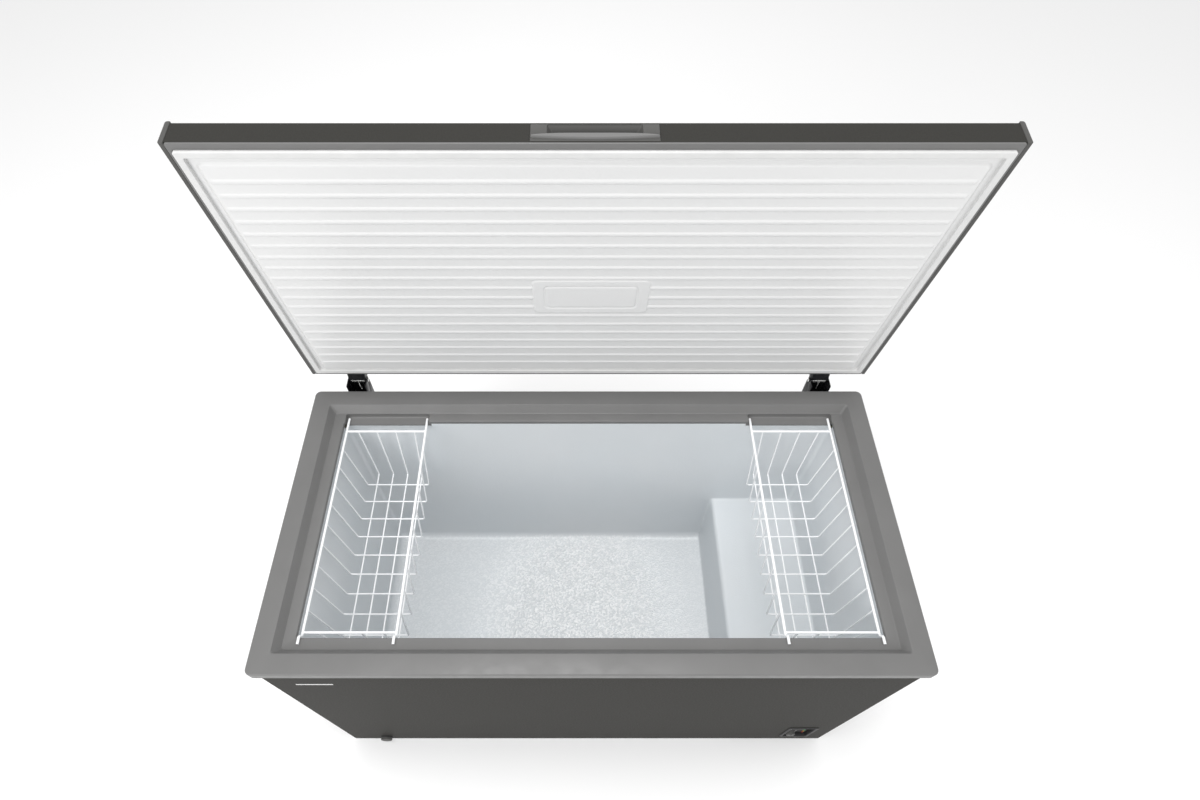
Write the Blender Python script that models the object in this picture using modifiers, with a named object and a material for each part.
"""Chest freezer with its lid open, as an assembly of separate parts.

Metres, +Z up. The origin lies on the floor under the middle of the freezer's box with its lid open, and
the front faces -Y. The lid is modelled closed, on an empty on its hinge axis, and that empty is turned to
the open position. Every shape is drawn about the cabinet's middle and moved to the origin at the end.
"""

from math import asin, cos, pi, radians, sin

import bmesh
import bpy
from mathutils import Vector

GAP = 0.0003  # clearance between pieces that touch

# Cabinet
FOOT_HEIGHT = 0.015
FRAME_WIDTH, FRAME_DEPTH, FRAME_TOP = 1.400, 0.710, 0.792
FRAME_WALL = 0.003
FRAME_RADIUS = 0.014
BAND_WIDTH = 0.0435  # flat top of the frame, where the gasket lands
SLOPE_RUN, SLOPE_DROP = 0.013, 0.020
LEDGE_WIDTH = 0.025
SKIRT_HEIGHT = 0.022
PANEL_INSET = 0.008  # the outer sheet stands this far inside the frame's edge
SHEET = 0.001
WRAP_RADIUS = 0.010
TUBE_SPACE = 0.0056  # room for the condenser tube between the sheet and the foam

# Inner liner
OPENING_INSET = BAND_WIDTH + SLOPE_RUN + LEDGE_WIDTH
LINER_WALL = 0.0012
LINER_TAPER = 0.0085
FLOOR_Z = 0.115
FLOOR_FILLET = 0.022
STEP_X, STEP_Z = 0.375, 0.366
LINER_TOP = FRAME_TOP - 0.0303
LINER_FLANGE = 0.011
EVAPORATOR_SPACE = 0.0093

# Compressor bay, under the liner's step
BAY_X, BAY_Z = 0.430, 0.311
BAY_FLOOR_Z = FOOT_HEIGHT + 0.0025
PAN_FLANGE = 0.015

# Lid, closed
LID_HALF_WIDTH, LID_FRONT, LID_REAR = 0.704, -0.3625, 0.355
LID_BOTTOM, LID_THICKNESS = 0.798, 0.050
LID_TOP = LID_BOTTOM + LID_THICKNESS
RAIL_WIDTH, RAIL_PROUD = 0.0085, 0.0006
LIP_X, LIP_Y = 0.0075, 0.0130  # visible width of the lid's edge frame at the sides and at the front
GASKET_WIDTH = 0.0125
RIB_PITCH, RIB_COUNT, RIB_HEIGHT = 0.032, 19, 0.0022
PLATEAU_Z = 0.7965
OPEN_ANGLE = radians(82.9)

# Hinges
AXIS_Y, AXIS_Z = 0.385, LID_BOTTOM
HINGE_X, HINGE_WIDTH = 0.595, 0.049
HINGE_PLATE = 0.002
PIN_RADIUS = 0.0028

# Baskets
WIRE_RADIUS, RIM_RADIUS = 0.0018, 0.0030
POCKET_FLOOR = FRAME_TOP - 0.035
POCKET_IN, POCKET_OUT, POCKET_BACK = 0.4045, 0.6170, 0.2970  # the recess in the back ledge, on either side
POCKET_ROOM = 0.0045  # from a pocket's space to the foam and the liner round its walls
RIM_Z = POCKET_FLOOR + RIM_RADIUS + GAP
BASKET_BOTTOM_Z = 0.578
BASKET_IN, BASKET_OUT = 0.412, 0.611  # the rim's two long wires, from the freezer's middle
BASKET_BACK, BASKET_FRONT = 0.251, -0.259
CROSS_WIRES, CROSS_PITCH = 9, 0.051
LONG_WIRES = 4

# Drain and controls
DRAIN_X, DRAIN_Z = -0.585, 0.046
CAP_LENGTH = 0.011
FLOOR_DRAIN = (-0.560, -0.220)
BEZEL_X, BEZEL_Z = 0.5985, 0.120
BEZEL_WIDTH, BEZEL_HEIGHT = 0.083, 0.126
KNOB_X, KNOB_Z = 0.583, 0.088
LAMP_X = 0.622
COMPRESSOR_X, COMPRESSOR_Y, COMPRESSOR_RADIUS = 0.562, 0.110, 0.072

HALF_W, HALF_D = FRAME_WIDTH / 2, FRAME_DEPTH / 2
SHEET_X, SHEET_Y = HALF_W - PANEL_INSET, HALF_D - PANEL_INSET  # outer faces of the outer sheet
SHEET_TOP = FRAME_TOP - FRAME_WALL - GAP
LEDGE_Z = FRAME_TOP - SLOPE_DROP


# --- scene and materials -------------------------------------------------------------------------


def clear_scene():
    for item in list(bpy.data.objects):
        bpy.data.objects.remove(item, do_unlink=True)


def new_collection(name):
    group = bpy.data.collections.new(name)
    bpy.context.scene.collection.children.link(group)
    return group


def material(name, colour, roughness, metallic=0.0):
    made = bpy.data.materials.new(name)
    made.use_nodes = True
    shader = made.node_tree.nodes["Principled BSDF"]
    shader.inputs["Base Color"].default_value = (*colour, 1.0)
    shader.inputs["Roughness"].default_value = roughness
    shader.inputs["Metallic"].default_value = metallic
    made.diffuse_color = (*colour, 1.0)
    return made


def add(name, mesh, finish=None, parent=None):
    """An object in the freezer's collection, or a hidden cutter if it has no finish."""
    made = bpy.data.objects.new(name, mesh)
    (PARTS if finish else CUTTERS).objects.link(made)
    if finish:
        mesh.materials.clear()
        mesh.materials.append(finish)
    else:
        made.hide_render = True
        made.display_type = "WIRE"
    if parent:
        made.parent = parent
        made.location = -parent.location
    return made


def mesh_from(build, name):
    """A mesh made by a function that fills a bmesh, with its faces turned outwards."""
    work = bmesh.new()
    build(work)
    bmesh.ops.recalc_face_normals(work, faces=work.faces)
    mesh = bpy.data.meshes.new(name)
    work.to_mesh(mesh)
    work.free()
    return mesh


# --- shapes --------------------------------------------------------------------------------------


def box(name, low, high, finish=None, parent=None):
    low, high = Vector(low), Vector(high)

    def build(work):
        bmesh.ops.create_cube(work, size=1.0)
        bmesh.ops.scale(work, vec=high - low, verts=work.verts)
        bmesh.ops.translate(work, vec=(low + high) / 2, verts=work.verts)

    return add(name, mesh_from(build, name), finish, parent)


def rod(name, centre, radius, length, axis="Z", finish=None, parent=None, sides=16):
    """A plain cylinder about its centre, along one axis."""
    turn = {"X": (0, pi / 2, 0), "Y": (pi / 2, 0, 0), "Z": (0, 0, 0)}[axis]

    def build(work):
        bmesh.ops.create_cone(
            work, cap_ends=True, segments=sides, radius1=radius, radius2=radius, depth=length
        )

    made = add(name, mesh_from(build, name), finish, parent)
    made.location += Vector(centre)
    made.rotation_euler = turn
    return made


def rounded_loop(x0, x1, y0, y1, radius, z, steps=3):
    """Corners of a rounded rectangle at height z, anticlockwise from the right side's lower end."""
    centres = [(x1 - radius, y0 + radius, -90), (x1 - radius, y1 - radius, 0)]
    centres += [(x0 + radius, y1 - radius, 90), (x0 + radius, y0 + radius, 180)]
    points = []
    for cx, cy, start in centres:
        for n in range(steps + 1):
            angle = radians(start + 90 * n / steps)
            points.append((cx + radius * cos(angle), cy + radius * sin(angle), z))
    return points


def loft(name, loops, finish=None, parent=None, ring=False):
    """A solid through loops of equal length: its ends are capped, or joined to each other if ring."""

    def build(work):
        rows = [[work.verts.new(p) for p in loop] for loop in loops]
        count = len(rows[0])
        for first, second in zip(rows, rows[1:] + rows[:1] if ring else rows[1:]):
            for n in range(count):
                m = (n + 1) % count
                work.faces.new((first[n], first[m], second[m], second[n]))
        if not ring:
            work.faces.new(rows[0])
            work.faces.new(rows[-1])

    return add(name, mesh_from(build, name), finish, parent)


def frame_loops(profile, radius=FRAME_RADIUS, least=0.006):
    """Loops for a profile of (inset from the frame's outer edge, z)."""
    return [
        rounded_loop(
            inset - HALF_W, HALF_W - inset, inset - HALF_D, HALF_D - inset, max(radius - inset, least), z
        )
        for inset, z in profile
    ]


def lid_loops(profile, radius=0.004):
    """Loops for a profile of (inset at the sides, at the front, at the rear, z) inside the lid's rails."""
    side = LID_HALF_WIDTH - RAIL_WIDTH - GAP
    return [
        rounded_loop(dx - side, side - dx, LID_FRONT + front, LID_REAR - rear, radius, z, steps=2)
        for dx, front, rear, z in profile
    ]


def prism(name, outline, start, end, finish=None, parent=None):
    """An outline of (y, z) points extruded along X."""
    return loft(name, [[(x, y, z) for y, z in outline] for x in (start, end)], finish, parent)


def turned(name, profile, centre, finish=None, parent=None, turn=(0, 0, 0), steps=16, closed=False):
    """A profile of (radius, height) from top to bottom, turned about the object's own Z."""
    mesh = bpy.data.meshes.new(name)
    count = len(profile)
    edges = [(n, (n + 1) % count) for n in range(count if closed else count - 1)]
    mesh.from_pydata([(r, 0, z) for r, z in profile], edges, [])
    made = add(name, mesh, finish, parent)
    made.location += Vector(centre)
    made.rotation_euler = turn
    screw = made.modifiers.new("turn", "SCREW")
    screw.steps = screw.render_steps = steps
    screw.use_merge_vertices = True
    screw.merge_threshold = 0.00001
    screw.use_smooth_shade = True
    return made


FACING_FRONT = (pi / 2, 0, 0)  # turns an object's own Z to -Y
FACING_BACK = (-pi / 2, 0, 0)
ALONG_X = (0, pi / 2, 0)


def curve_object(name, points, radius, resolution, cyclic=False):
    curve = bpy.data.curves.new(name, "CURVE")
    curve.dimensions = "3D"
    curve.bevel_depth = radius
    curve.bevel_resolution = resolution
    curve.use_fill_caps = True
    spline = curve.splines.new("POLY")
    spline.points.add(len(points) - 1)
    for slot, point in zip(spline.points, points):
        slot.co = (*point, 1.0)
    spline.use_cyclic_u = cyclic
    return bpy.data.objects.new(name, curve)


def wire(name, points, radius, finish=None, parent=None, resolution=2):
    """A bent rod as a mesh with welded caps, so that it can be cut and joined."""
    source = curve_object(name, points, radius, resolution)
    bpy.context.scene.collection.objects.link(source)
    bpy.context.view_layer.update()
    mesh = bpy.data.meshes.new_from_object(source.evaluated_get(bpy.context.evaluated_depsgraph_get()))
    bpy.data.objects.remove(source)

    work = bmesh.new()
    work.from_mesh(mesh)
    bmesh.ops.remove_doubles(work, verts=work.verts, dist=0.00001)
    bmesh.ops.recalc_face_normals(work, faces=work.faces)
    work.to_mesh(mesh)
    work.free()
    return add(name, mesh, finish, parent)


def rounded_route(points, radius, steps=3):
    """A route through points whose corners are turned into arcs of a radius."""
    corners = [Vector(p) for p in points]
    route = [corners[0]]
    for before, corner, after in zip(corners, corners[1:], corners[2:]):
        away, ahead = (before - corner).normalized(), (after - corner).normalized()
        half = away.angle(ahead) / 2
        reach = radius / abs(sin(half)) * cos(half)
        start, end = corner + away * reach, corner + ahead * reach
        centre = corner + (away + ahead).normalized() * radius / sin(half)
        for n in range(steps + 1):
            leg = start.lerp(end, n / steps) - centre
            route.append(centre + leg.normalized() * radius)
    route.append(corners[-1])
    return route


def modify(target, operation, others):
    for other in others:
        step = target.modifiers.new(operation.lower(), "BOOLEAN")
        step.operation = operation
        step.object = other
        step.solver = "EXACT"
    return target


def cut(target, *others):
    return modify(target, "DIFFERENCE", others)


def join(target, *others):
    return modify(target, "UNION", others)


def bevel(target, width, segments=2, angle=30):
    step = target.modifiers.new("bevel", "BEVEL")
    step.width = width
    step.segments = segments
    step.limit_method = "ANGLE"
    step.angle_limit = radians(angle)
    return target


def smooth(target, angle=35):
    target.data.shade_smooth()
    target.data.set_sharp_from_angle(angle=radians(angle))
    return target


def set_origin(target, origin):
    """Moves an object's origin without moving its shape."""
    shift = Vector(origin) - target.location
    for vertex in target.data.vertices:
        vertex.co -= shift
    target.location = origin


# --- cabinet -------------------------------------------------------------------------------------


def liner_shape(name, grow, top):
    """The liner's space as a solid, grown outwards by a wall or a gap."""
    rows = []
    for n in range(4):
        angle = radians(90 * n / 3)
        inset = OPENING_INSET + LINER_TAPER + FLOOR_FILLET * (1 - sin(angle))
        rows.append((inset - grow, FLOOR_Z + FLOOR_FILLET * (1 - cos(angle)) - grow))
    rows.append((OPENING_INSET - grow, LINER_TOP))
    if top > LINER_TOP:
        rows.append((OPENING_INSET - grow, top))
    shape = loft(name, frame_loops(rows, least=0.010))
    step = box(
        name + "_step",
        (STEP_X + grow, -1.0, -0.05),
        (1.0, 1.0, STEP_Z - grow),
    )
    bevel(step, 0.012)
    return cut(shape, step)


def make_outer_wrap():
    """Front and both sides, one sheet bent round the two front corners."""
    radius = WRAP_RADIUS
    right = [
        (SHEET_X - radius + radius * cos(radians(a)), -SHEET_Y + radius + radius * sin(radians(a)))
        for a in (-90, -60, -30, 0)
    ]
    path = [(-SHEET_X, SHEET_Y)] + [(-x, y) for x, y in reversed(right)] + right + [(SHEET_X, SHEET_Y)]

    def build(work):
        rows = [[work.verts.new((x, y, z)) for x, y in path] for z in (FOOT_HEIGHT, SHEET_TOP)]
        for n in range(len(path) - 1):
            work.faces.new((rows[0][n], rows[0][n + 1], rows[1][n + 1], rows[1][n]))

    mesh = mesh_from(build, "outer_wrap")
    wrap = add("outer_wrap", mesh, DARK_PAINT)
    shell = wrap.modifiers.new("sheet", "SOLIDIFY")
    shell.thickness = SHEET
    shell.offset = -1.0 if mesh.polygons[4].normal.y < 0 else 1.0
    half_w, half_h = BEZEL_WIDTH / 2 - 0.006, BEZEL_HEIGHT / 2 - 0.006
    window = box(
        "wrap_bezel_window",
        (BEZEL_X - half_w, -SHEET_Y - 0.01, BEZEL_Z - half_h),
        (BEZEL_X + half_w, -SHEET_Y + 0.01, BEZEL_Z + half_h),
    )
    drain = rod("wrap_drain_hole", (DRAIN_X, -SHEET_Y, DRAIN_Z), 0.0135, 0.02, "Y")
    air = box("wrap_air_window", (SHEET_X - 0.01, -0.150, 0.058), (SHEET_X + 0.01, 0.150, 0.262))
    return cut(wrap, window, drain, air)


def make_rear_panel():
    edge = SHEET_X - SHEET - GAP
    panel = box(
        "rear_panel", (-edge, SHEET_Y - SHEET, FOOT_HEIGHT + GAP), (edge, SHEET_Y, SHEET_TOP), DARK_PAINT
    )
    service = box("rear_service_window", (BAY_X, 0.3, 0.0), (0.8, 0.4, BAY_Z))
    holes = [
        rod(f"rear_screw_hole_{n}", (x, SHEET_Y, z), 0.0023, 0.02, "Y", sides=8)
        for n, (x, z) in enumerate(hinge_screw_places())
    ]
    return cut(panel, service, *holes)


def make_base_pan():
    """Pressed tray that closes the cabinet from below, left of the compressor bay."""
    x0, x1 = -SHEET_X + SHEET + GAP, BAY_X - SHEET - GAP
    y0, y1 = -SHEET_Y + SHEET + GAP, SHEET_Y - SHEET - GAP
    rows = [(0, 0.0), (0, PAN_FLANGE), (SHEET, PAN_FLANGE), (SHEET, SHEET)]
    loops = [
        rounded_loop(x0 + d, x1 - d, y0 + d, y1 - d, WRAP_RADIUS - d, FOOT_HEIGHT + GAP + h)
        for d, h in rows
    ]
    return smooth(loft("base_pan", loops, GALVANISED))


def make_compressor_tray():
    """Plate under the bay: it carries the compressor, and its slots let air in."""
    x0, x1 = BAY_X + 0.001, SHEET_X - SHEET - GAP
    tray = box(
        "compressor_tray",
        (x0, -SHEET_Y + WRAP_RADIUS, FOOT_HEIGHT + GAP),
        (x1, SHEET_Y - SHEET - GAP, BAY_FLOOR_Z),
        GALVANISED,
    )
    slots = [
        box(f"tray_slot_{n}", (0.50, y - 0.005, 0.0), (0.63, y + 0.005, 0.03))
        for n, y in enumerate((-0.26, -0.23, -0.20))
    ]
    return cut(tray, *slots)


def make_bay_liner():
    """Bent plate that keeps the foam out of the compressor bay: a wall and a roof."""
    y1 = SHEET_Y - SHEET - GAP
    wall = box("bay_liner", (BAY_X - SHEET, -y1, 0.036), (BAY_X, y1, BAY_Z), GALVANISED)
    roof_low = (BAY_X - SHEET, -y1 + WRAP_RADIUS, BAY_Z - SHEET)
    roof = box("bay_roof", roof_low, (SHEET_X - SHEET - GAP, y1, BAY_Z))
    return join(wall, roof)


def make_foam():
    """Insulation between the sheet and the liner, up to the underside of the top frame."""
    outer = PANEL_INSET + SHEET + TUBE_SPACE
    under = FRAME_WALL + GAP
    foot = FOOT_HEIGHT + SHEET + 2 * GAP
    profile = [
        (outer, foot),
        (outer, FRAME_TOP - under),
        (BAND_WIDTH - 0.0015, FRAME_TOP - under),
        (BAND_WIDTH + SLOPE_RUN - 0.0015, LEDGE_Z - under),
        (OPENING_INSET - 0.010, LEDGE_Z - under),
    ]
    foam = loft("cabinet_foam", frame_loops(profile), FOAM)
    space = liner_shape("foam_space", LINER_WALL + EVAPORATOR_SPACE, 0.9)
    bay = box("foam_bay", (BAY_X - SHEET - GAP, -0.4, 0.0), (0.8, 0.4, BAY_Z + GAP))
    flange_top = FOOT_HEIGHT + PAN_FLANGE + 2 * GAP
    pan_edge = box("foam_pan_edge", (BAY_X - 0.012, -0.4, 0.0), (0.5, 0.4, flange_top))
    drain = wire("foam_drain_channel", drain_route(), 0.0108, resolution=3)
    outlet = rod("foam_outlet_room", (DRAIN_X, -SHEET_Y, DRAIN_Z), 0.0136, 0.0260, "Y")
    flange_inset = OPENING_INSET - LINER_FLANGE - GAP
    flange = loft(
        "foam_flange_room",
        frame_loops([(flange_inset, LINER_TOP - LINER_WALL - GAP), (flange_inset, 0.9)]),
    )
    pockets = [pocket_box(f"foam_pocket_{side}", side, POCKET_ROOM) for side in (-1, 1)]
    return cut(foam, space, bay, pan_edge, drain, outlet, flange, *pockets)


def pocket_box(name, side, grow):
    """A basket pocket's space in the back ledge, grown to stand for its walls or their surroundings."""
    inner, outer = sorted((side * POCKET_IN, side * POCKET_OUT))
    low = (inner - grow, HALF_D - OPENING_INSET - 0.022, POCKET_FLOOR - grow)
    return box(name, low, (outer + grow, POCKET_BACK + grow, LEDGE_Z + 0.004))


def make_top_frame():
    """Moulded frame round the opening: skirt, band, slope, ledge, lip, and two basket pockets."""
    top, wall = FRAME_TOP, FRAME_WALL
    foot, drop = SLOPE_RUN + BAND_WIDTH, LEDGE_Z
    skirt = PANEL_INSET - GAP
    profile = [
        (0.0, top - SKIRT_HEIGHT),
        (0.0, top - 0.0025),
        (0.0008, top - 0.0008),
        (0.0025, top),
        (BAND_WIDTH, top),
        (foot, drop),
        (OPENING_INSET - 0.002, drop),
        (OPENING_INSET, drop - 0.002),
        (OPENING_INSET, top - 0.030),
        (OPENING_INSET - wall, top - 0.030),
        (OPENING_INSET - wall, drop - wall),
        (foot - 0.0015, drop - wall),
        (BAND_WIDTH - 0.0015, top - wall),
        (skirt, top - wall),
        (skirt, top - SKIRT_HEIGHT),
    ]
    frame = loft("top_frame", frame_loops(profile), GREY_PLASTIC, ring=True)
    rear_room = box(
        "frame_rear_room",
        (-SHEET_X - GAP, 0.310, top - SKIRT_HEIGHT - 0.001),
        (SHEET_X + GAP, SHEET_Y + GAP, SHEET_TOP + GAP / 2),
    )
    cut(frame, rear_room)
    for side in (-1, 1):
        inner, outer = sorted((side * POCKET_IN, side * POCKET_OUT))
        shell = box(
            f"pocket_shell_{side}",
            (inner - wall, HALF_D - OPENING_INSET, POCKET_FLOOR - wall),
            (outer + wall, POCKET_BACK + wall, LEDGE_Z - 0.001),
        )
        space = bevel(pocket_box(f"pocket_space_{side}", side, 0.0), 0.004, 1)
        cut(join(frame, shell), space)
    return frame


def make_liner():
    """Thin metal tub with a step over the compressor, and a flange under the top frame's ledge."""
    tub = liner_shape("inner_liner", LINER_WALL, LINER_TOP)
    PARTS.objects.link(tub)
    CUTTERS.objects.unlink(tub)
    tub.data.materials.append(LINER_METAL)
    tub.hide_render = False
    tub.display_type = "TEXTURED"
    flange = loft(
        "liner_flange",
        frame_loops([(OPENING_INSET - LINER_FLANGE, LINER_TOP - z) for z in (LINER_WALL, 0.0)]),
    )
    space = liner_shape("liner_space", 0.0, 0.9)
    drain = rod("liner_drain_hole", (*FLOOR_DRAIN, FLOOR_Z), 0.0100, 0.03)
    notches = [pocket_box(f"liner_notch_{side}", side, POCKET_ROOM) for side in (-1, 1)]
    return cut(join(tub, flange), space, drain, *notches)


def make_evaporator():
    """Tube wound round the liner above its step, following the taper of its walls."""
    turns, low, high, corners = 6, 0.415, 0.715, 16
    points = []
    for n in range(turns * corners):
        z = low + (high - low) * n / (turns * corners)
        narrow = LINER_TAPER * (LINER_TOP - z) / (LINER_TOP - FLOOR_Z - FLOOR_FILLET)
        inset = OPENING_INSET + narrow - LINER_WALL - EVAPORATOR_SPACE / 2
        loop = rounded_loop(inset - HALF_W, HALF_W - inset, inset - HALF_D, HALF_D - inset, 0.016, z)
        points.append(loop[n % corners])
    return smooth(wire("evaporator_tube", points, 0.0040, COPPER, resolution=1))


def make_condenser():
    """Tube that runs to and fro on the inside of the sides and the front."""
    inset = PANEL_INSET + SHEET + TUBE_SPACE / 2
    x, y, back = HALF_W - inset, -HALF_D + inset, 0.315
    corners = []
    for n, z in enumerate((0.72, 0.62, 0.52, 0.42)):
        way = 1 if n % 2 else -1
        corners += [(way * x, back, z), (way * x, y, z), (-way * x, y, z), (-way * x, back, z)]
    return smooth(wire("condenser_tube", rounded_route(corners, 0.009), 0.0024, COPPER, resolution=1))


def make_foot(name, x, y):
    profile = [(0, FOOT_HEIGHT), (0.012, FOOT_HEIGHT), (0.012, 0.008), (0.021, 0.006), (0.021, 0.0015)]
    profile += [(0.019, 0.0), (0, 0.0)]
    return turned(name, profile, (x, y, 0), BLACK_PLASTIC, steps=16)


# --- drain ---------------------------------------------------------------------------------------


def drain_route(extra=0.0):
    """From under the liner's floor to the outlet in the front, longer at both ends by an extra length."""
    x, y = FLOOR_DRAIN
    points = [(x, y, FLOOR_Z - LINER_WALL - GAP + extra), (x, y, DRAIN_Z), (DRAIN_X, y - 0.06, DRAIN_Z)]
    points.append((DRAIN_X, -SHEET_Y + 0.0125 - extra, DRAIN_Z))
    return rounded_route(points, 0.024)


def make_drain():
    """Hose through the foam, outlet in the front sheet, outer cap, and plug in the liner's floor."""
    hose = wire("drain_hose", drain_route(), 0.0098, GREY_PLASTIC)
    cut(hose, wire("drain_bore", drain_route(0.005), 0.0068))

    front = -SHEET_Y
    flange = [(0.0070, 0.0035), (0.0165, 0.0035), (0.0185, 0.0015), (0.0185, GAP)]
    flange += [(0.0130, GAP), (0.0130, -0.0120), (0.0070, -0.0120)]
    turned("drain_outlet", flange, (DRAIN_X, front, DRAIN_Z), BLACK_PLASTIC, None, FACING_FRONT, closed=True)

    head = [(0, CAP_LENGTH), (0.0140, CAP_LENGTH), (0.0160, CAP_LENGTH - 0.002), (0.0160, 0.0038)]
    head += [(0.0067, 0.0038), (0.0060, -0.0080), (0, -0.0080)]
    turned("drain_cap", head, (DRAIN_X, front, DRAIN_Z), BLACK_PLASTIC, None, FACING_FRONT)

    plug = [(0, 0.0050), (0.0060, 0.0050), (0.0075, 0.0030), (0.0160, 0.0022), (0.0160, GAP)]
    plug += [(0.0062, GAP), (0.0056, -0.0100), (0, -0.0100)]
    turned("drain_plug", plug, (*FLOOR_DRAIN, FLOOR_Z), GREY_PLASTIC)


# --- controls ------------------------------------------------------------------------------------


def bezel_loop(inset, depth, radius=0.006):
    """A rounded rectangle on the bezel, whose own Z points out of the front."""
    half_w, half_h = BEZEL_WIDTH / 2 - inset, BEZEL_HEIGHT / 2 - inset
    return rounded_loop(-half_w, half_w, -half_h, half_h, radius, depth, steps=2)


def make_controls():
    """Recessed bezel with the thermostat's knob and three lamps, and the thermostat behind it."""
    front = -SHEET_Y
    flange = [bezel_loop(0.0, GAP), bezel_loop(0.0, 0.0012), bezel_loop(0.0015, 0.0025)]
    body = loft("control_bezel", flange, BLACK_PLASTIC)
    body.location = (BEZEL_X, front, BEZEL_Z)
    body.rotation_euler = FACING_FRONT
    tub = loft("bezel_tub", [bezel_loop(0.0065, -0.0100), bezel_loop(0.0065, 0.0010)])
    recess = loft("bezel_recess", [bezel_loop(0.0095, -0.0080), bezel_loop(0.0078, 0.0040)])
    for guide in (tub, recess):
        guide.location, guide.rotation_euler = body.location, FACING_FRONT
    shaft_hole = rod("bezel_shaft_hole", (KNOB_X, front, KNOB_Z), 0.0036, 0.05, "Y", sides=12)
    lamp_holes = [
        rod(f"bezel_lamp_hole_{n}", (LAMP_X, front, z), 0.0028, 0.05, "Y", sides=12)
        for n, z in enumerate(lamp_heights())
    ]
    cut(join(body, tub), recess, shaft_hole, *lamp_holes)

    floor = front + 0.0080
    knob = [(0, 0.0125), (0.0100, 0.0125), (0.0125, 0.0105), (0.0135, 0.0020), (0.0150, GAP), (0, GAP)]
    turned("thermostat_knob", knob, (KNOB_X, floor, KNOB_Z), GREY_PLASTIC, None, FACING_FRONT)
    pointer = box(
        "knob_pointer",
        (KNOB_X - 0.0012, floor - 0.0135, KNOB_Z - 0.002),
        (KNOB_X + 0.0012, floor - 0.0110, KNOB_Z + 0.0105),
    )
    join(bpy.data.objects["thermostat_knob"], pointer)

    case = box(
        "thermostat",
        (KNOB_X - 0.022, floor + 0.0023, KNOB_Z - 0.018),
        (KNOB_X + 0.022, floor + 0.0300, KNOB_Z + 0.018),
        GALVANISED,
    )
    shaft = rod("thermostat_shaft", (KNOB_X, floor + (GAP + 0.010) / 2, KNOB_Z), 0.0030, 0.010 - GAP, "Y")
    join(case, shaft)

    finishes = {"power": GREEN_LENS, "run": AMBER_LENS, "alarm": RED_LENS}
    for (label, finish), z in zip(finishes.items(), lamp_heights()):
        lens = [(0, 0.0014), (0.0016, 0.0010), (0.0025, 0.0), (0.0025, -0.0070), (0, -0.0070)]
        turned(f"lamp_{label}", lens, (LAMP_X, floor, z), finish, None, FACING_FRONT, steps=12)


def lamp_heights():
    return [KNOB_Z + 0.014 * n for n in (1, 0, -1)]


# --- machine bay ---------------------------------------------------------------------------------


def grommet_places():
    return [
        (COMPRESSOR_X + sx * 0.080, COMPRESSOR_Y + sy * 0.050, f"{row}_{col}")
        for sx, col in ((-1, "left"), (1, "right"))
        for sy, row in ((-1, "front"), (1, "rear"))
    ]


def make_compressor():
    """Hermetic compressor welded to its foot plate, on rubber grommets, with its start relay."""
    plate_z = BAY_FLOOR_Z + 0.0125
    plate = box(
        "compressor_foot_plate",
        (COMPRESSOR_X - 0.092, COMPRESSOR_Y - 0.062, plate_z),
        (COMPRESSOR_X + 0.092, COMPRESSOR_Y + 0.062, plate_z + 0.003),
        BLACK_METAL,
    )
    for x, y, corner in grommet_places():
        cut(plate, rod(f"plate_hole_{corner}", (x, y, plate_z), 0.0063, 0.02, sides=12))
        rubber = [(0, 0.0200), (0.0075, 0.0200), (0.0085, 0.0158), (0.0060, 0.0158), (0.0060, 0.0122)]
        rubber += [(0.0105, 0.0122), (0.0115, GAP), (0, GAP)]
        turned(f"grommet_{corner}", rubber, (x, y, BAY_FLOOR_Z), RUBBER, steps=12)

    base, radius = plate_z + 0.003 + GAP, COMPRESSOR_RADIUS
    shell = [(0, 0.168), (0.030, 0.166), (0.056, 0.156), (radius - 0.003, 0.134), (radius - 0.003, 0.080)]
    shell += [(radius, 0.079), (radius, 0.072), (radius - 0.003, 0.071), (radius - 0.005, 0.020)]
    shell += [(0.048, 0.0), (0, 0.0)]
    turned("compressor", shell, (COMPRESSOR_X, COMPRESSOR_Y, base), BLACK_METAL, steps=28)

    relay = box(
        "start_relay",
        (COMPRESSOR_X - 0.024, COMPRESSOR_Y - radius - 0.030, base + 0.030),
        (COMPRESSOR_X + 0.024, COMPRESSOR_Y - radius + 0.016, base + 0.088),
        BLACK_PLASTIC,
    )
    bevel(relay, 0.003, 1)
    clear = rod("relay_clearance", (COMPRESSOR_X, COMPRESSOR_Y, base + 0.06), radius + 0.0012, 0.2, sides=28)
    cut(relay, clear)

    drier = [(0, 0.055), (0.003, 0.055), (0.0034, 0.045), (0.0095, 0.036), (0.0095, -0.036)]
    drier += [(0.0034, -0.045), (0.003, -0.055), (0, -0.055)]
    turned("filter_drier", drier, (BAY_X + 0.030, -0.050, 0.165), COPPER, steps=12)

    side = COMPRESSOR_X - radius - 0.0008
    top = BAY_Z - 0.001 - GAP
    discharge = [(side, COMPRESSOR_Y + 0.02, 0.110), (side - 0.022, COMPRESSOR_Y + 0.02, 0.110)]
    discharge += [(side - 0.022, COMPRESSOR_Y + 0.02, 0.230), (side - 0.022, COMPRESSOR_Y + 0.09, 0.230)]
    discharge += [(side - 0.022, COMPRESSOR_Y + 0.09, top)]
    smooth(wire("discharge_pipe", rounded_route(discharge, 0.010), 0.0024, COPPER, resolution=1))
    side = COMPRESSOR_X + radius + 0.0008
    suction = [(side, COMPRESSOR_Y, 0.130), (side + 0.022, COMPRESSOR_Y, 0.130)]
    suction += [(side + 0.022, COMPRESSOR_Y, 0.250), (side + 0.022, -0.060, 0.250)]
    suction.append((side + 0.022, -0.060, top))
    smooth(wire("suction_pipe", rounded_route(suction, 0.012), 0.0032, COPPER, resolution=1))


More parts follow.
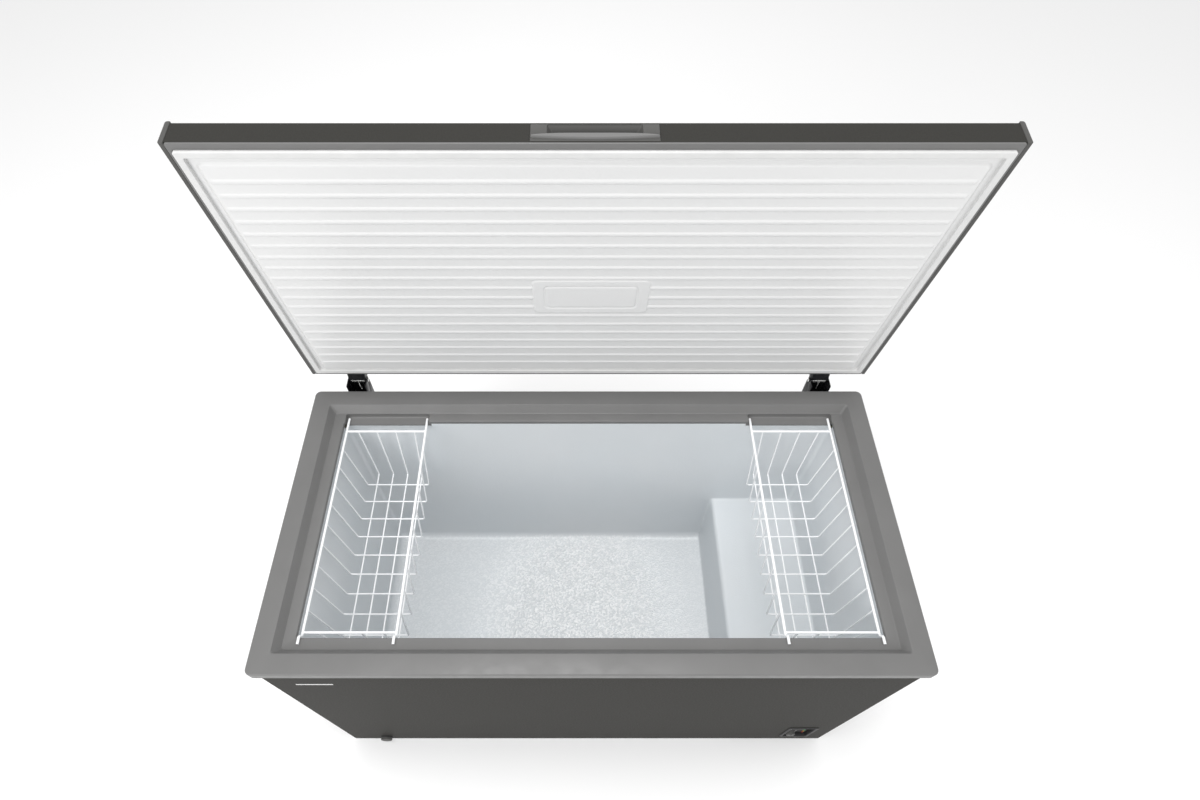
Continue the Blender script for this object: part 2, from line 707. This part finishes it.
def make_air_grille():
    """Louvred plastic grille in the right side, beside the compressor."""
    plate = box(
        "air_grille", (SHEET_X + GAP, -0.158, 0.050), (SHEET_X + 0.0035, 0.158, 0.270), BLACK_PLASTIC
    )
    boss = box("grille_boss", (SHEET_X - 0.006, -0.148, 0.060), (SHEET_X + 0.003, 0.148, 0.260))
    join(plate, boss)
    slots = [
        box(f"grille_slot_{n}", (SHEET_X - 0.02, -0.138, z), (SHEET_X + 0.02, 0.138, z + 0.010))
        for n, z in enumerate(0.070 + 0.021 * k for k in range(9))
    ]
    return cut(plate, *slots)


def make_rear_cover():
    """Slotted steel cover over the bay's rear opening, with the power inlet's gland in it."""
    x0, x1 = BAY_X + GAP, SHEET_X - SHEET - GAP
    cover = box(
        "rear_service_cover",
        (x0, SHEET_Y - SHEET, FOOT_HEIGHT + GAP),
        (x1, SHEET_Y, BAY_Z - GAP),
        GALVANISED,
    )
    slots = [
        box(f"cover_slot_{n}", (0.500, 0.3, z), (0.650, 0.4, z + 0.008))
        for n, z in enumerate(0.120 + 0.022 * k for k in range(7))
    ]
    gland_x, gland_z = 0.475, 0.070
    hole = rod("cover_gland_hole", (gland_x, SHEET_Y, gland_z), 0.0083, 0.02, "Y")
    cut(cover, hole, *slots)
    ring = [(0.0042, 0.0080), (0.0085, 0.0080), (0.0115, 0.0030), (0.0115, GAP), (0.0080, GAP)]
    ring += [(0.0080, -0.0060), (0.0042, -0.0060)]
    turned(
        "power_inlet_gland", ring, (gland_x, SHEET_Y, gland_z), BLACK_PLASTIC, None, FACING_BACK, closed=True
    )


# --- hinges --------------------------------------------------------------------------------------


def hinge_screw_places():
    return [(side * HINGE_X + off, 0.700) for side in (-1, 1) for off in (-0.0305, 0.0305)]


def make_hinge(side, label, lid):
    """Channel on the cabinet's rear, arm on the lid's rear edge, pin, torsion spring and two screws."""
    x, half = side * HINGE_X, HINGE_WIDTH / 2
    back = AXIS_Y + 0.0100
    seat = SHEET_Y + GAP
    body = box(f"hinge_body_{label}", (x - half, seat, 0.640), (x + half, back, 0.807), BLACK_METAL)
    inside = box(
        f"body_inside_{label}",
        (x - half + HINGE_PLATE, 0.3, 0.630),
        (x + half - HINGE_PLATE, back - HINGE_PLATE, 0.82),
    )
    frame_room = box(f"body_frame_room_{label}", (x - 0.04, 0.3, 0.7685), (x + 0.04, HALF_D + 0.0024, 0.82))
    web = back - HINGE_PLATE - 0.001
    web_room = box(f"body_web_room_{label}", (x - 0.04, web, 0.790), (x + 0.04, 0.41, 0.82))
    flange = box(f"body_flange_{label}", (x - 0.0370, seat, 0.652), (x + 0.0370, seat + HINGE_PLATE, 0.758))
    join(cut(body, inside, frame_room, web_room), flange)
    bore = rod(f"body_bore_{label}", (x, AXIS_Y, AXIS_Z), PIN_RADIUS + GAP, 0.06, "X")
    holes = [
        rod(f"flange_hole_{label}_{n}", (px, seat, pz), 0.0023, 0.02, "Y", sides=8)
        for n, (px, pz) in enumerate(p for p in hinge_screw_places() if p[0] * side > 0)
    ]
    cut(body, bore, *holes)

    reach = 0.0075
    arc = [
        (AXIS_Y + reach * cos(radians(a)), AXIS_Z + reach * sin(radians(a))) for a in range(45, -136, -45)
    ]
    plate_y = LID_REAR + GAP
    outline = [(plate_y, AXIS_Z + 0.0015), (plate_y, AXIS_Z + 0.046), (plate_y + 0.005, AXIS_Z + 0.046)]
    half_arm = half - HINGE_PLATE - 0.001
    arm = prism(f"hinge_arm_{label}", outline + arc, x - half_arm, x + half_arm, BLACK_METAL, lid)
    hollow = box(
        f"arm_hollow_{label}",
        (x - half_arm + HINGE_PLATE, plate_y + HINGE_PLATE, 0.7),
        (x + half_arm - HINGE_PLATE, 0.5, 0.9),
        None,
        lid,
    )
    arm_bore = rod(
        f"arm_bore_{label}", (x, AXIS_Y, AXIS_Z), PIN_RADIUS + GAP, 0.06, "X", None, lid
    )
    cut(arm, hollow, arm_bore)

    end, r = half + 0.0022, PIN_RADIUS
    pin = [(0, end), (0.0046, end), (0.0050, half + GAP), (r, half + GAP), (r, -half - GAP)]
    pin += [(0.0050, -half - GAP), (0.0046, -end), (0, -end)]
    turned(f"hinge_pin_{label}", pin, (x, AXIS_Y, AXIS_Z), STEEL, None, ALONG_X, steps=12)

    turns, per_turn, coil = 5, 8, 0.0047
    points = [
        (
            x - 0.0155 + 0.031 * n / (turns * per_turn),
            AXIS_Y + coil * sin(2 * pi * n / per_turn),
            AXIS_Z + coil * cos(2 * pi * n / per_turn),
        )
        for n in range(turns * per_turn - 1)
    ]
    last = points[-1]
    points.append((last[0], AXIS_Y - coil, AXIS_Z - 0.030))
    smooth(wire(f"hinge_spring_{label}", points, 0.0010, STEEL, resolution=1))

    near = [p for p in hinge_screw_places() if p[0] * side > 0]
    for (px, pz), place in zip(near, ("inner", "outer") if side > 0 else ("outer", "inner")):
        top = HINGE_PLATE + GAP
        screw = [(0, top + 0.0024), (0.0030, top + 0.0020), (0.0042, top + GAP), (0.0019, top + GAP)]
        screw += [(0.0019, -0.0045), (0, -0.0055)]
        turned(f"hinge_screw_{label}_{place}", screw, (px, seat, pz), STEEL, None, FACING_BACK, steps=12)


# --- lid -----------------------------------------------------------------------------------------


def handle_outline(half_length, edge, sag, steps=8):
    """The grip lip seen from the front: straight on top, bowed below."""
    radius = (half_length**2 + sag**2) / (2 * sag)
    sweep = asin(half_length / radius)
    angles = [sweep * (2 * n / steps - 1) for n in range(steps + 1)]
    arc = [(radius * sin(a), edge + radius * (cos(sweep) - cos(a))) for a in angles]
    return [(half_length, edge + 0.0045), (-half_length, edge + 0.0045)] + arc


def make_lid(lid):
    """Skin, side rails, edge frame, gasket, foam, ribbed inner panel and handle."""
    side = LID_HALF_WIDTH - RAIL_WIDTH - GAP
    bend = 0.005
    lip_top = LID_BOTTOM + 0.0025
    corner = [
        (LID_FRONT + bend - bend * cos(radians(a)), LID_TOP - bend + bend * sin(radians(a)))
        for a in (0, 30, 60, 90)
    ]
    rear = [(LID_REAR + LID_FRONT - y, z) for y, z in reversed(corner)]
    path = [(LID_FRONT, lip_top + GAP)] + corner + rear + [(LID_REAR, lip_top + GAP)]
    inner = [(y + SHEET * (1 if y < 0 else -1), z) for y, z in path]
    inner = [(y, min(z, LID_TOP - SHEET)) for y, z in inner]
    skin = prism("lid_skin", path + inner[::-1], -side, side, DARK_PAINT, lid)
    half_l, z0, z1 = 0.1055, LID_BOTTOM + 0.0050, LID_BOTTOM + 0.0440
    opening = box(
        "skin_handle_opening",
        (-half_l - GAP, LID_FRONT - 0.01, z0 - GAP),
        (half_l + GAP, LID_FRONT + 0.01, z1 + GAP),
        None,
        lid,
    )
    cut(skin, opening)

    for sign, label in ((-1, "left"), (1, "right")):
        inner_x, outer_x = side + GAP, LID_HALF_WIDTH
        loops = []
        for y in (LID_FRONT - 0.0012, LID_REAR):
            loops.append(
                [
                    (sign * inner_x, y, LID_BOTTOM - 0.0003),
                    (sign * (outer_x - 0.0025), y, LID_BOTTOM - 0.0003),
                    (sign * outer_x, y, LID_BOTTOM + 0.0025),
                    (sign * outer_x, y, LID_TOP - 0.0035),
                    (sign * (outer_x - 0.0012), y, LID_TOP - 0.0005),
                    (sign * (outer_x - 0.0040), y, LID_TOP + RAIL_PROUD),
                    (sign * inner_x, y, LID_TOP + RAIL_PROUD),
                ]
            )
        smooth(loft(f"lid_rail_{label}", loops, GREY_PLASTIC, lid))

    lip = [(0, 0, 0, LID_BOTTOM), (LIP_X, LIP_Y, LIP_Y, LID_BOTTOM), (LIP_X, LIP_Y, LIP_Y, lip_top)]
    lip += [(0.0035, 0.0035, 0.0035, lip_top), (0.0035, 0.0035, 0.0035, lip_top + 0.010)]
    lip += [(0.0013, 0.0013, 0.0013, lip_top + 0.010), (0.0013, 0.0013, 0.0013, lip_top), (0, 0, 0, lip_top)]
    edge = loft("lid_edge_frame", lid_loops(lip), GREY_PLASTIC, lid, ring=True)
    handle_room = box(
        "edge_handle_room", (-half_l - 0.001, -0.4, z0 - 0.001), (half_l + 0.001, -0.33, 0.85), None, lid
    )
    cut(edge, handle_room)

    gasket = []
    for dx, z in ((0, 0.8), (0, 0.15), (0.2, 0.0), (0.8, 0.0), (1, 0.15), (1, 0.8)):
        inset = GASKET_WIDTH * dx + GAP
        height = FRAME_TOP + GAP + (lip_top - FRAME_TOP - GAP) * min(z / 0.8, 1)
        gasket.append((LIP_X + inset, LIP_Y + inset, LIP_Y + inset, height))
    smooth(loft("lid_gasket", lid_loops(gasket), WHITE_RUBBER, lid, ring=True))

    make_lid_panel(lid, lip_top + GAP)
    make_lid_foam(lid, lip_top + GAP)
    make_handle(lid, half_l, z0, z1)


def make_lid_panel(lid, flange_z):
    """White inner panel: flange over the gasket, groove, and a plateau with ribs across it."""
    wall = 0.0012
    groove_x, groove_y = LIP_X + GASKET_WIDTH + 0.010, LIP_Y + GASKET_WIDTH + 0.010
    plateau_x, front, rear = 0.0347, 0.0435, 0.0300
    rows = [
        (0.0040, 0.0040, 0.0040, flange_z),
        (groove_x, groove_y, rear - 0.002, flange_z),
        (plateau_x, front, rear, PLATEAU_Z),
        (plateau_x + 0.004, front + 0.004, rear + 0.004, PLATEAU_Z),
        (plateau_x + 0.004, front + 0.004, rear + 0.004, PLATEAU_Z + 0.0016),
        (plateau_x + wall, front + wall, rear + wall, PLATEAU_Z + 0.0016),
        (groove_x + wall, groove_y + wall, rear - 0.002 + wall, flange_z + wall),
        (0.0040, 0.0040, 0.0040, flange_z + wall),
    ]
    panel = loft("lid_inner_panel", lid_loops(rows), WHITE_PLASTIC, lid, ring=True)

    half_x = LID_HALF_WIDTH - RAIL_WIDTH - GAP - plateau_x - 0.002
    y0, y1 = LID_FRONT + front + 0.002, LID_REAR - rear - 0.002
    outline = [(y0, PLATEAU_Z + 0.0012), (y0, PLATEAU_Z + 0.0002)]
    middle = (y0 + y1) / 2
    for n in range(RIB_COUNT):
        y = middle + (n - (RIB_COUNT - 1) / 2) * RIB_PITCH
        low = PLATEAU_Z - RIB_HEIGHT
        outline += [(y - 0.006, PLATEAU_Z + 0.0002), (y - 0.003, low), (y + 0.003, low)]
        outline += [(y + 0.006, PLATEAU_Z + 0.0002)]
    outline += [(y1, PLATEAU_Z + 0.0002), (y1, PLATEAU_Z + 0.0012)]
    ribs = prism("panel_ribs", outline, -half_x, half_x, None, lid)
    pad_y = LID_FRONT + 0.395
    pad = loft(
        "panel_pad",
        [
            rounded_loop(-0.1215, 0.1215, pad_y - 0.0535, pad_y + 0.0535, 0.012, z, steps=2)
            for z in (PLATEAU_Z - RIB_HEIGHT, PLATEAU_Z + 0.0008)
        ],
        None,
        lid,
    )
    return join(panel, ribs, pad)


def make_lid_foam(lid, flange_z):
    low = PLATEAU_Z + 0.0022
    rows = [
        (0.0420, 0.0500, 0.0370, low),
        (0.0420, 0.0500, 0.0370, flange_z + 0.0015),
        (0.0038, 0.0038, 0.0038, flange_z + 0.0015),
        (0.0038, 0.0038, 0.0038, LID_TOP - 0.0065),
        (0.0055, 0.0055, 0.0055, LID_TOP - SHEET - GAP),
    ]
    foam = loft("lid_foam", lid_loops(rows), FOAM, lid)
    room = box("foam_handle_room", (-0.11, -0.4, LID_BOTTOM - 0.01), (0.11, -0.3390, LID_TOP), None, lid)
    return cut(foam, room)


def make_handle(lid, half_l, z0, z1):
    """Moulded insert in the lid's front edge: a finger pocket with a bowed grip lip under it."""
    depth = 0.0220
    body = box(
        "lid_handle",
        (-half_l, LID_FRONT - 0.0008, z0),
        (half_l, LID_FRONT + depth, z1),
        GREY_PLASTIC,
        lid,
    )
    pocket = loft(
        "handle_pocket",
        [
            [(sx * half, y, z) for sx, z in ((-1, low), (1, low), (1, high), (-1, high))]
            for half, y, low, high in (
                (0.0770, LID_FRONT - 0.004, LID_BOTTOM + 0.0160, LID_BOTTOM + 0.0410),
                (0.0660, LID_FRONT + depth - 0.003, LID_BOTTOM + 0.0200, LID_BOTTOM + 0.0385),
            )
        ],
        None,
        lid,
    )
    outline = handle_outline(half_l - 0.001, LID_BOTTOM + 0.0120, 0.0055)
    lip = loft(
        "handle_lip",
        [[(x, y, z) for x, z in outline] for y in (LID_FRONT - 0.0060, LID_FRONT + 0.004)],
        None,
        lid,
    )
    return join(cut(body, pocket), lip)


# --- baskets -------------------------------------------------------------------------------------


def basket_width(height):
    """The inner and outer side of a basket at a height: it narrows downwards."""
    share = (RIM_Z - height) / (RIM_Z - BASKET_BOTTOM_Z)
    return BASKET_IN + 0.018 * share, BASKET_OUT - 0.016 * share


def make_basket(side, label):
    """Welded wire basket: a thick rim with hooks at its ends, and thin wires bent into a U both ways."""
    name = f"basket_{label}"
    pieces = bpy.data.collections.new(f"{name}_wires")
    top = LEDGE_Z + RIM_RADIUS + GAP

    for n, x in enumerate((BASKET_IN, BASKET_OUT)):
        run = [(x, 0.2890, RIM_Z), (x, -0.2640, RIM_Z), (x, -0.2695, RIM_Z + 0.005)]
        run += [(x, -0.2705, top - 0.003), (x, -0.2735, top), (x, -0.2880, top)]
        route = [(side * px, py, pz) for px, py, pz in run]
        bar = wire(f"{name}_bar_{n}", route, RIM_RADIUS, resolution=1)
        if n:
            pieces.objects.link(bar)
        else:
            first = bar
    for n, y in enumerate((BASKET_FRONT, BASKET_BACK)):
        ends = [(side * BASKET_IN, y, RIM_Z), (side * BASKET_OUT, y, RIM_Z)]
        pieces.objects.link(wire(f"{name}_end_{n}", ends, RIM_RADIUS * 0.9, resolution=1))

    low_in, low_out = basket_width(BASKET_BOTTOM_Z)
    for n in range(CROSS_WIRES):
        y = 0.198 - CROSS_PITCH * n
        run = [(BASKET_IN, RIM_Z), (low_in, BASKET_BOTTOM_Z), (low_out, BASKET_BOTTOM_Z), (BASKET_OUT, RIM_Z)]
        route = [(side * px, y, pz) for px, pz in run]
        pieces.objects.link(wire(f"{name}_cross_{n}", route, WIRE_RADIUS, resolution=0))
    for n in range(LONG_WIRES):
        share = (n + 0.6) / (LONG_WIRES + 0.2)
        x_top = BASKET_IN + (BASKET_OUT - BASKET_IN) * share
        x_low = low_in + (low_out - low_in) * share
        low = BASKET_BOTTOM_Z - WIRE_RADIUS * 1.3
        run = [(x_top, BASKET_BACK, RIM_Z), (x_low, BASKET_BACK - 0.018, low)]
        run += [(x_low, BASKET_FRONT + 0.018, low), (x_top, BASKET_FRONT, RIM_Z)]
        route = [(side * px, py, pz) for px, py, pz in run]
        pieces.objects.link(wire(f"{name}_long_{n}", route, WIRE_RADIUS, resolution=0))

    CUTTERS.objects.unlink(first)
    PARTS.objects.link(first)
    first.name, first.hide_render, first.display_type = name, False, "TEXTURED"
    first.data.materials.append(WHITE_WIRE)
    step = first.modifiers.new("weld", "BOOLEAN")
    step.operation, step.solver, step.operand_type = "UNION", "EXACT", "COLLECTION"
    step.collection = pieces
    set_origin(first, (side * (BASKET_IN + BASKET_OUT) / 2, 0.0, RIM_Z))


# --- assembly ------------------------------------------------------------------------------------

clear_scene()
PARTS = new_collection("chest_freezer")
CUTTERS = new_collection("cutters")

DARK_PAINT = material("dark_paint", (0.085, 0.085, 0.078), 0.35, 0.3)
GREY_PLASTIC = material("grey_plastic", (0.22, 0.22, 0.22), 0.45)
BLACK_PLASTIC = material("black_plastic", (0.02, 0.02, 0.02), 0.4)
WHITE_PLASTIC = material("white_plastic", (0.82, 0.82, 0.81), 0.35)
WHITE_RUBBER = material("white_rubber", (0.75, 0.75, 0.74), 0.6)
LINER_METAL = material("liner_metal", (0.70, 0.72, 0.73), 0.35, 0.8)
WHITE_WIRE = material("white_wire", (0.88, 0.89, 0.90), 0.3)
BLACK_METAL = material("black_metal", (0.012, 0.012, 0.012), 0.25)
GALVANISED = material("galvanised", (0.55, 0.56, 0.57), 0.4, 0.9)
STEEL = material("steel", (0.60, 0.60, 0.60), 0.25, 1.0)
COPPER = material("copper", (0.72, 0.38, 0.24), 0.3, 1.0)
FOAM = material("foam", (0.80, 0.72, 0.48), 0.9)
RUBBER = material("rubber", (0.02, 0.02, 0.02), 0.8)
GREEN_LENS = material("green_lens", (0.05, 0.45, 0.10), 0.2)
AMBER_LENS = material("amber_lens", (0.75, 0.40, 0.05), 0.2)
RED_LENS = material("red_lens", (0.55, 0.03, 0.03), 0.2)

make_outer_wrap()
make_rear_panel()
make_base_pan()
make_compressor_tray()
make_bay_liner()
make_foam()
make_top_frame()
make_liner()
make_evaporator()
make_condenser()
for foot_x, across in ((-0.62, "left"), (0.62, "right")):
    for foot_y, along in ((-0.28, "front"), (0.28, "rear")):
        make_foot(f"foot_{along}_{across}", foot_x, foot_y)
make_drain()
make_controls()
make_compressor()
make_air_grille()
make_rear_cover()

LID = bpy.data.objects.new("lid_hinge_axis", None)
PARTS.objects.link(LID)
LID.location = (0.0, AXIS_Y, AXIS_Z)
make_lid(LID)
for hinge_side, hinge_label in ((-1, "left"), (1, "right")):
    make_hinge(hinge_side, hinge_label, LID)
LID.rotation_euler = (-OPEN_ANGLE, 0.0, 0.0)

for basket_side, basket_label in ((-1, "left"), (1, "right")):
    make_basket(basket_side, basket_label)

# The cap's face is the foremost point, and the open lid's top edge over the hinges is the rearmost.
FOREMOST = -SHEET_Y - CAP_LENGTH
REARMOST = AXIS_Y + (LID_REAR - AXIS_Y) * cos(OPEN_ANGLE) + (LID_TOP + RAIL_PROUD - AXIS_Z) * sin(OPEN_ANGLE)
for item in bpy.data.objects:
    if item.parent is None:
        item.location.y -= (FOREMOST + REARMOST) / 2
